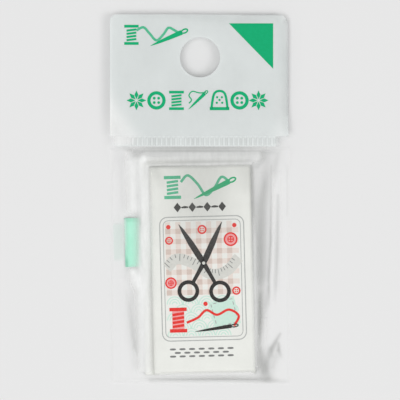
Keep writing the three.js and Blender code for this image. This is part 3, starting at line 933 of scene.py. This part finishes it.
def needle_mesh():
    """One needle along Y with its middle at the origin."""
    base, head = -NEEDLE_LENGTH / 2, NEEDLE_LENGTH / 2
    point_end, gold_start, dome = base + POINT_LENGTH, head - GOLD_LENGTH, head - NEEDLE_RADIUS
    profile = [(0, base)]
    for share in np.linspace(0, 1, 19)[1:]:
        swell = math.sin(share * math.pi / 2) ** POINT_SWELL
        profile.append((NEEDLE_RADIUS * swell, base + POINT_LENGTH * share ** POINT_EASE))
    profile += [(NEEDLE_RADIUS, y) for y in np.linspace(point_end, gold_start, 8)[1:]]
    profile += [(NEEDLE_RADIUS, y) for y in np.linspace(gold_start, dome, 8)[1:]]
    profile += arc((0, dome), NEEDLE_RADIUS, np.arange(15, 90, 15))
    profile.append((0, head))
    needle = make_object("needle", *lathe(profile, NEEDLE_SIDES), [steel, gold])

    eye_middle = head - EYE_TOP - EYE_LENGTH / 2
    radius, reach = EYE_WIDTH / 2, (EYE_LENGTH - EYE_WIDTH) / 2
    outline = arc((0, eye_middle + reach), radius, np.linspace(0, 180, 9))
    outline += arc((0, eye_middle - reach), radius, np.linspace(180, 360, 9))
    cut(needle, *closed_sheet([(x, y, 1) for x, y in outline], [range(len(outline))], 2))
    ball, faces = lathe(arc((0, 0), 1, np.linspace(-90, 90, 17)), GUTTER_SIDES)
    size = np.array([GUTTER_WIDTH / 2, GUTTER_LENGTH / 2, GUTTER_DEPTH])
    for side in (1, -1):
        cut(needle, np.array(ball) * size + (0, eye_middle, side * NEEDLE_RADIUS), faces)
    mesh = needle.data
    clean(mesh)
    index = [1 if polygon.center.y > gold_start * MM else 0 for polygon in mesh.polygons]
    mesh.polygons.foreach_set("material_index", index)
    mesh.shade_smooth()
    bpy.data.objects.remove(needle)
    return mesh


def make_needles():
    mesh = needle_mesh()
    names = sorted(node for node in frame["nodes"] if node.startswith("needle_") and node[-1].isdigit())
    first, last = (sum(node_box(names[i])) / 2 for i in (0, -1))
    for index, name in enumerate(names):
        place = first + (last - first) * index / (len(names) - 1)
        obj = link(name + "_polished", mesh)
        obj.matrix_world = Matrix.Translation(Vector(place * MM)) @ Matrix.Rotation(tilt, 4, "Z")
        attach(obj, name)
        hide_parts(name)


def dress_leaf():
    finishes = {"needle_leaf": leaf_paper, "needle_band_lower": band_paper, "needle_band_upper": band_paper}
    for node, material in finishes.items():
        obj = frame["nodes"][node]
        obj.data.materials.clear()
        obj.data.materials.append(material)


# Printed shapes, drawn flat in millimetres

INK_LIFT = 0.012
EDGE_MISS = 0.01
AREA_STEP = 0.8
LOOP_STEP = 0.5
# Motifs in shares of their size: (place along, width), widths alone, or places of points
NEEDLE_SHAPE = [(0, 0.06), (0.1, 0.3), (0.25, 0.55), (0.5, 0.8), (0.75, 0.95), (0.845, 1)]
BLADE_SHAPE = [(0, 0.06), (0.15, 0.5), (0.5, 0.95), (0.85, 1), (1, 0.8)]
SHANK_WIDTHS = [0.8, 0.62, 0.55]
STITCH_WIDTHS = [0.6, 1, 1, 1, 0.6]
STAR_POINT = [(0.06, 0), (0.3, 0.11), (0.54, 0), (0.3, -0.11)]
THIMBLE_SIDE = [
    (-0.42, -0.45), (-0.32, 0.2), (-0.2, 0.42), (0, 0.48), (0.2, 0.42), (0.32, 0.2), (0.42, -0.45)]
THIMBLE_DOTS = [(-0.14, -0.12), (0.14, -0.12), (0, 0.02), (-0.12, 0.16), (0.12, 0.16)]
BUTTON_HOLES = [(0.24, 0.24), (0.24, -0.24), (-0.24, 0.24), (-0.24, -0.24)]
BUTTON_RIM = 0.82
BUTTON_LINE = 0.36
BUTTON_HOLE = 0.16
SPOOL_TURNS = (-0.24, -0.08, 0.08, 0.24)
SPOOL_END = 0.43
SPOOL_END_HEIGHT = 0.14
TURN_REACH = 0.34
TURN_SLANT = 0.03
TURN_LINE = 0.105
EYE_MIDDLE = 0.92
EYE_REACH = 0.08
EYE_SIDE = 0.36
EYE_LINE = 0.3
THIMBLE_LINE = 0.12
THIMBLE_DOT = 0.06
THIMBLE_FOOT = 0.42
THIMBLE_FOOT_HEIGHT = 0.16
SHANK_END = 1.5
FINGER_LOOP = 1.45
FINGER_LINE = 0.6
TICK_FROM = 0.46
TICK_LONG = 0.62
TICK_SHORT = 0.34
# A tape's ticks in millimetres
TICK_STEP = 0.9
TICK_WIDTH = 0.17
TICK_MARGINS = (0.6, 0.4)
LOOK_AHEAD = 0.05


def curve(points, steps=10):
    """A smooth line through the points."""
    points = np.array(points, float)
    ends = np.vstack([2 * points[0] - points[1], points, 2 * points[-1] - points[-2]])
    line = []
    for a, b, c, d in zip(ends, ends[1:], ends[2:], ends[3:]):
        for t in np.linspace(0, 1, steps, endpoint=False):
            line.append(0.5 * (2 * b + (c - a) * t + (2 * a - 5 * b + 4 * c - d) * t ** 2
                               + (3 * b - a - 3 * c + d) * t ** 3))
    line.append(points[-1])
    return np.array(line)


def distances(line):
    """How far along a line each of its points lies."""
    return np.concatenate([[0], np.cumsum(np.linalg.norm(np.diff(line, axis=0), axis=1))])


def along_line(line, marks):
    """Places at distances along a line."""
    return np.stack([np.interp(marks, distances(line), line[:, i]) for i in (0, 1)], axis=1)


def aside(along):
    return np.array([-along[1], along[0]])


def stroke(points, width):
    """A line with a width, or with a width at each point; it closes where it ends at its start."""
    points = np.array(points, float)
    closed = np.allclose(points[0], points[-1])
    if closed:
        points = points[:-1]
        along = np.roll(points, -1, axis=0) - np.roll(points, 1, axis=0)
    else:
        along = np.gradient(points, axis=0)
    widths = np.broadcast_to(width, len(points)) / 2
    along /= np.linalg.norm(along, axis=1)[:, None]
    side = aside(along.T).T * widths[:, None]
    count = len(points)
    pairs = [(i, (i + 1) % count) for i in range(count if closed else count - 1)]
    return np.vstack([points + side, points - side]), [(a, count + a, count + b, b) for a, b in pairs]


def ring(middle, radius, width, start=0.0, end=360.0, sides=28):
    return stroke(arc(middle, radius, np.linspace(start, end, sides + 1)), width)


def disc(middle, radius, sides=20):
    verts = [middle] + circle(middle, radius, sides)
    return np.array(verts), [(0, i + 1, (i + 1) % sides + 1) for i in range(sides)]


def inside(points, x, y):
    hits = False
    for (ax, ay), (bx, by) in zip(points, np.roll(points, -1, axis=0)):
        if (ay > y) != (by > y) and x < ax + (y - ay) / (by - ay) * (bx - ax):
            hits = not hits
    return hits


def area(points):
    """A filled outline with points inside it, so that it follows a curved face."""
    points = np.array(points, float)
    edge = []
    for a, b in zip(points, np.roll(points, -1, axis=0)):
        parts = max(1, int(np.linalg.norm(b - a) / AREA_STEP))
        edge += [a + (b - a) * i / parts for i in range(parts)]
    ends = zip(points.min(0), points.max(0))
    xs, ys = (np.arange(low + AREA_STEP / 2, high, AREA_STEP) for low, high in ends)
    return fill([edge], [(x, y) for y in ys for x in xs if inside(points, x, y)])


def box(middle, width, height, turn=0.0):
    """The corners of a rectangle turned by some degrees."""
    c, s = math.cos(math.radians(turn)), math.sin(math.radians(turn))
    corners = [(x * width / 2, y * height / 2) for x, y in ((-1, -1), (1, -1), (1, 1), (-1, 1))]
    return [(middle[0] + c * x - s * y, middle[1] + s * x + c * y) for x, y in corners]


def rounded_loop(low, high, radius):
    left, bottom = low + radius
    right, top = high - radius
    points = []
    for index, middle in enumerate(((right, top), (left, top), (left, bottom), (right, bottom))):
        points += arc(middle, radius, np.linspace(90 * index, 90 * index + 90, 6))
    line = np.array(points + points[:1])
    run = distances(line)
    return along_line(line, np.union1d(run, np.arange(0, run[-1], LOOP_STEP)))


def button(middle, radius):
    holes = np.array(middle) + radius * np.array(BUTTON_HOLES)
    rim = ring(middle, radius * BUTTON_RIM, radius * BUTTON_LINE)
    return [rim, *(disc(hole, radius * BUTTON_HOLE, 10) for hole in holes)]


def spool(middle, width, height):
    x, y = middle
    ends = [(x, y + side * height * SPOOL_END) for side in (-1, 1)]
    shapes = [area(box(end, width, height * SPOOL_END_HEIGHT)) for end in ends]
    for share in SPOOL_TURNS:
        turn = [(x + side * width * TURN_REACH, y + height * (share + side * TURN_SLANT)) for side in (-1, 1)]
        shapes.append(stroke(turn, height * TURN_LINE))
    return shapes


def needle(point, head, width):
    point, head = np.array([point, head])
    run = head - point
    side = aside(run / np.linalg.norm(run))
    shares, widths = np.array(NEEDLE_SHAPE).T
    shaft = stroke([point + run * share for share in shares], widths * width)
    eye = [point + run * (EYE_MIDDLE + EYE_REACH * along) + side * width * EYE_SIDE * across
           for along, across in arc((0, 0), 1, np.linspace(0, 360, 25))]
    return [shaft, stroke(eye, EYE_LINE * width)]


def thimble(middle, size):
    side, dots = (np.array(middle) + size * np.array(shape) for shape in (THIMBLE_SIDE, THIMBLE_DOTS))
    foot = area(box((middle[0], middle[1] - THIMBLE_FOOT * size), size, size * THIMBLE_FOOT_HEIGHT))
    side = stroke(curve(side, 6), size * THIMBLE_LINE)
    return [side, foot, *(disc(dot, size * THIMBLE_DOT, 8) for dot in dots)]


def star(middle, size):
    """A quilter's star of eight points that don't quite meet."""
    return [area([middle + along * far + aside(along) * wide for far, wide in STAR_POINT])
            for along in np.array(arc((0, 0), size, np.arange(0, 360, 45)))]


def scissors(pivot, tips, loops, width):
    """Open scissors: each blade runs from its tip through the pivot to a finger loop."""
    pivot = np.array(pivot)
    shares, widths = np.array(BLADE_SHAPE).T
    shapes = []
    for tip, loop in zip(np.array(tips), np.array(loops)):
        shapes.append(stroke([tip + (pivot - tip) * share for share in shares], widths * width))
        near = pivot + (loop - pivot) * (1 - SHANK_END * width / np.linalg.norm(loop - pivot))
        shapes.append(stroke([pivot, (pivot + near) / 2, near], np.array(SHANK_WIDTHS) * width))
        shapes.append(ring(loop, FINGER_LOOP * width, FINGER_LINE * width))
    return shapes


def ticks(line, width):
    """Marks along one side of a measuring tape."""
    first, last = TICK_MARGINS[0], distances(line)[-1] - TICK_MARGINS[1]
    shapes = []
    for index, place in enumerate(np.arange(first, last, TICK_STEP)):
        here, ahead = along_line(line, [place, place + LOOK_AHEAD])
        side = aside((ahead - here) / np.linalg.norm(ahead - here)) * width
        end = TICK_FROM - (TICK_SHORT if index % 4 else TICK_LONG)
        shapes.append(stroke([here + side * TICK_FROM, here + side * end], TICK_WIDTH))
    return shapes


def gingham(low, high, check):
    """Checked cloth: bands both ways, and the checks where they cross."""
    columns, rows = (np.arange(low[i] + check / 2, high[i], 2 * check) for i in (0, 1))
    middle, size = (low + high) / 2, high - low
    bands = [box((u, middle[1]), check, size[1]) for u in columns]
    bands += [box((middle[0], v), size[0] - EDGE_MISS, check - EDGE_MISS) for v in rows]
    checks = [box((u, v), check + EDGE_MISS, check + EDGE_MISS) for v in rows for u in columns]
    return map(area, bands), map(area, checks)


def stitches(points, width, length, gap):
    """Running stitches along a line."""
    line = np.array(points, float)
    starts = np.arange(0, distances(line)[-1] - length, length + gap)
    marks = [np.linspace(start, start + length, len(STITCH_WIDTHS)) for start in starts]
    return [stroke(along_line(line, mark), np.array(STITCH_WIDTHS) * width) for mark in marks]


class Print:
    """Inked shapes that lie on one face, in layers."""

    def __init__(self, to_pack, height):
        self.to_pack = to_pack
        self.height = height
        self.verts, self.faces, self.inks, self.indices = [], [], [], []

    def add(self, ink, *shapes, layer=0):
        if ink not in self.inks:
            self.inks.append(ink)
        lift = INK_LIFT * (1 + layer)
        for flat, faces in shapes:
            u, v = flat.T
            verts, faces = closed_sheet(zip(*self.to_pack(u, v), self.height(u, v) + lift), faces, lift)
            offset = len(self.verts)
            self.verts += verts
            self.faces += [[offset + i for i in face] for face in faces]
            self.indices += [self.inks.index(ink)] * len(faces)

    def build(self, name, body):
        materials = [inks[ink] for ink in self.inks]
        obj = make_object(name, self.verts, self.faces, materials, body, self.indices)


# The header's print: places in the picture, as (px, py)

CORNER_TRIANGLE = [(228.4, 23), (272.6, 68.4), (272.6, 23)]
TOP_SPOOL = (131, 34.5)
TOP_THREAD = [(136, 30), (143, 27), (149, 33), (156, 40), (163, 34), (168, 27.5), (174, 30), (178.5, 32.6)]
TOP_NEEDLE = [(150, 45.5), (187, 29.5)]
ROW_STARS = [(136, 100), (258, 100)]
ROW_BUTTONS = [(156, 100), (239, 100)]
ROW_SPOOL = (176, 100)
ROW_NEEDLE = [(188, 109), (207, 90.5)]
ROW_THREAD = [(205.5, 92), (199, 92.5), (192, 91), (188.5, 95), (191, 99.5), (188.5, 103)]
ROW_THIMBLE = (219, 100)


def print_header():
    def spots(places):
        return [spot(*place) for place in places]

    sheet = Print(lambda x, y: (x, y), header_surface)
    sheet.add("green", area(spots(CORNER_TRIANGLE)))
    sheet.add("green", *spool(spot(*TOP_SPOOL), width=3.6, height=5.0))
    sheet.add("soft green", stroke(curve(spots(TOP_THREAD)), width=0.62))
    sheet.add("green", *needle(*spots(TOP_NEEDLE), width=1.25), layer=1)
    for place in spots(ROW_STARS):
        sheet.add("green", *star(place, size=4.6))
    for place in spots(ROW_BUTTONS):
        sheet.add("green", *button(place, radius=2.3))
    sheet.add("green", *spool(spot(*ROW_SPOOL), width=3.7, height=4.8))
    sheet.add("green", *needle(*spots(ROW_NEEDLE), width=0.85), layer=1)
    sheet.add("green", stroke(curve(spots(ROW_THREAD)), width=0.3))
    sheet.add("green", *thimble(spot(*ROW_THIMBLE), size=4.9))
    sheet.build("header_print", "header")


# The packet's print: places in the packet's own frame

THREAD = [(-4.8, 22.6), (-3, 24.2), (-0.6, 22), (1.4, 19.2), (3.6, 21), (5.4, 23.6), (7.4, 22.4)]
BORDER_LEVEL = 16.25
BORDER_PLACES = np.linspace(-5.8, 5.4, 7)
DIAMOND = [(-0.95, 0), (0, -1.2), (0.95, 0), (0, 1.2)]
DASH = [(-0.85, -0.05), (0, 0.05), (0.85, 0)]
DASH_WIDTHS = [0.35, 0.6, 0.35]
FRAME_LOW = np.array([-10.35, -17.1])
FRAME_HIGH = np.array([10.65, 13.85])
FRAME_GAP = 0.85
CLOTH_FOOT = -5.7
CLOTH_SIDE = 0.5
CLOTH_TOP = 0.4
CHECK = 1.28
SCALE_RADIUS = 2.0
SCALE_ROWS = 5
SCALE_RINGS = (0.94, 0.62, 0.3)
SCALE_MARGINS = (0.4, 0.3, 0.2)
PATCH = (5.3, -10.4)
PATCH_TURN = 14
TAPE = [(-8.9, 1.2), (-6.2, 3.4), (-2.2, 2.2), (2.2, -0.6), (6.2, 0.2), (9.2, 3.4)]
TAPE_WIDTH = 2.7
PIVOT = (0.4, 2.2)
BLADE_TIPS = [(-5.6, 12), (5.2, 12.4)]
FINGER_LOOPS = [(4.3, -5), (-3.6, -4.7)]
RED_THREAD = [
    (7.6, -13.7), (8.8, -11.2), (6.4, -9.6), (3.4, -10.8), (0.8, -9.6), (-1.4, -11.4), (-4.2, -12.6)]
RED_SPOOL = (-6.3, -11.9)
# Buttons as (u, v, radius): those on a red disc, with its radius too, and plain ones
DISC_BUTTONS = [(7.3, 8.0, 1.35, 1.75), (-7.9, -2.6, 1.1, 1.45)]
RED_BUTTONS = [(0.2, 10.6, 1.15), (-8.1, 8.0, 1.0), (8.4, -4.9, 1.05)]
PINS = [(-8.2, 11.4), (8.3, 11.5), (0.6, -8.0)]
# Rows of stitches as (left, right, v)
STITCH_ROWS = [(-8.6, 9.4, -19.2), (-7.4, 8.2, -20.1), (-8.6, 9.4, -21.0)]


def print_packet():
    sheet = Print(packet_to_pack, packet_face)
    sheet.add("soft green", *spool((-6.9, 21.3), width=4.2, height=5.8))
    sheet.add("soft green", stroke(curve(THREAD), width=0.65))
    sheet.add("green", *needle(point=(-1.6, 18.3), head=(8.9, 23.2), width=1.35), layer=1)
    for index, u in enumerate(BORDER_PLACES):
        shape = np.array(DASH if index % 2 else DIAMOND) + (u, BORDER_LEVEL)
        sheet.add("black", stroke(shape, DASH_WIDTHS) if index % 2 else area(shape))

    sheet.add("grey", stroke(rounded_loop(FRAME_LOW, FRAME_HIGH, radius=1.9), width=0.26))
    low, high = FRAME_LOW + FRAME_GAP, FRAME_HIGH - FRAME_GAP
    sheet.add("grey", stroke(rounded_loop(low, high, radius=1.3), width=0.2))
    cloth_low = np.array([low[0] + CLOTH_SIDE, CLOTH_FOOT])
    bands, checks = gingham(cloth_low, high - (CLOTH_SIDE, CLOTH_TOP), CHECK)
    sheet.add("cloth", *bands)
    sheet.add("cloth check", *checks, layer=1)
    left, foot, right = SCALE_MARGINS
    for row in range(SCALE_ROWS):
        start = low[0] + left + SCALE_RADIUS * (1 + row % 2)
        for u in np.arange(start, high[0] - right - SCALE_RADIUS, 2 * SCALE_RADIUS):
            middle = (u, low[1] + foot + row * SCALE_RADIUS)
            for share in SCALE_RINGS:
                sheet.add("pale mint", ring(middle, SCALE_RADIUS * share, width=0.3, end=180, sides=14))

    sheet.add("pale mint", area(box(PATCH, 6.6, 7.0, PATCH_TURN)), layer=1)
    edge = box(PATCH, 5.5, 5.9, PATCH_TURN)
    sheet.add("grey", *stitches(edge + edge[:1], width=0.24, length=0.9, gap=0.5), layer=2)
    tape = curve(TAPE)
    sheet.add("pale grey", stroke(tape, TAPE_WIDTH), layer=2)
    sheet.add("dark grey", *ticks(tape, TAPE_WIDTH), layer=3)
    sheet.add("black", *scissors(PIVOT, BLADE_TIPS, FINGER_LOOPS, width=1.55), layer=4)
    sheet.add("pale grey", disc(PIVOT, radius=0.403, sides=12), layer=5)
    sheet.add("black", *needle(point=(-2.2, -14.9), head=(8.6, -13.5), width=0.95), layer=5)
    sheet.add("red", stroke(curve(RED_THREAD), width=0.6), layer=3)
    sheet.add("pink", area(box(RED_SPOOL, 3.0, 4.4)), layer=3)
    sheet.add("red", *spool(RED_SPOOL, width=4.3, height=6.2), layer=4)
    for u, v, radius, around in DISC_BUTTONS:
        sheet.add("red", disc((u, v), around, sides=24), layer=3)
        sheet.add("pink", *button((u, v), radius), layer=4)
    for u, v, radius in RED_BUTTONS:
        sheet.add("red", *button((u, v), radius), layer=3)
    for pin in PINS:
        sheet.add("red", disc(pin, radius=0.55), layer=3)
    for left, right, v in STITCH_ROWS:
        sheet.add("dark grey", *stitches([(left, v), (right, v)], width=0.5, length=1.5, gap=0.9))
    sheet.build("packet_print", "packet")


# Stage, light and camera

FLOOR_SIZE = 6000
FLOOR_LEVEL = -0.02
WORLD = 0.424
# Lights as (place in metres, size in metres, power in watts)
LIGHTS = {
    "left light": ((-0.44, -0.35, 2.2), 1.3, 23.0),
    "right light": ((1.2, -0.49, 2.17), 1.0, 14.5),
}
CAMERA_LENS = 200
CAMERA_SENSOR = 36
VIEW_WIDTH = 100.0
VIEW_LEVEL = 3.2
VIEW_Y = -0.125


def make_camera():
    camera = bpy.data.cameras.new("camera")
    camera.lens = CAMERA_LENS
    camera.sensor_width = CAMERA_SENSOR
    distance = VIEW_WIDTH * CAMERA_LENS / CAMERA_SENSOR
    obj = link("camera", camera)
    obj.location = (0.0, VIEW_Y * MM, (VIEW_LEVEL + distance) * MM)
    bpy.context.scene.camera = obj


def make_stage():
    nodes = Nodes("floor")
    nodes.set(Base_Color=(0.8, 0.8, 0.8, 1), Roughness=0.9, Specular_IOR_Level=0.1)
    corners = [(x, y, FLOOR_LEVEL) for x, y in box((0, 0), FLOOR_SIZE, FLOOR_SIZE)]
    floor = make_object("floor", corners, [(0, 1, 2, 3)], [nodes.material])


def make_light():
    scene = bpy.context.scene
    world = bpy.data.worlds.new("studio")
    world.use_nodes = True
    background = world.node_tree.nodes["Background"].inputs
    background["Color"].default_value = (1, 1, 1, 1)
    background["Strength"].default_value = WORLD
    scene.world = world
    for name, (place, size, power) in LIGHTS.items():
        light = bpy.data.lights.new(name, "AREA")
        light.size = size
        light.energy = power
        obj = link(name, light)
        obj.location = place
        obj.rotation_euler = (-Vector(place)).to_track_quat("-Z", "Y").to_euler()
    scene.view_settings.view_transform = "Standard"


make_camera()
make_stage()
make_light()
make_pouch()
make_header()
make_packet()
make_slip()
make_needles()
dress_leaf()
print_header()
print_packet()
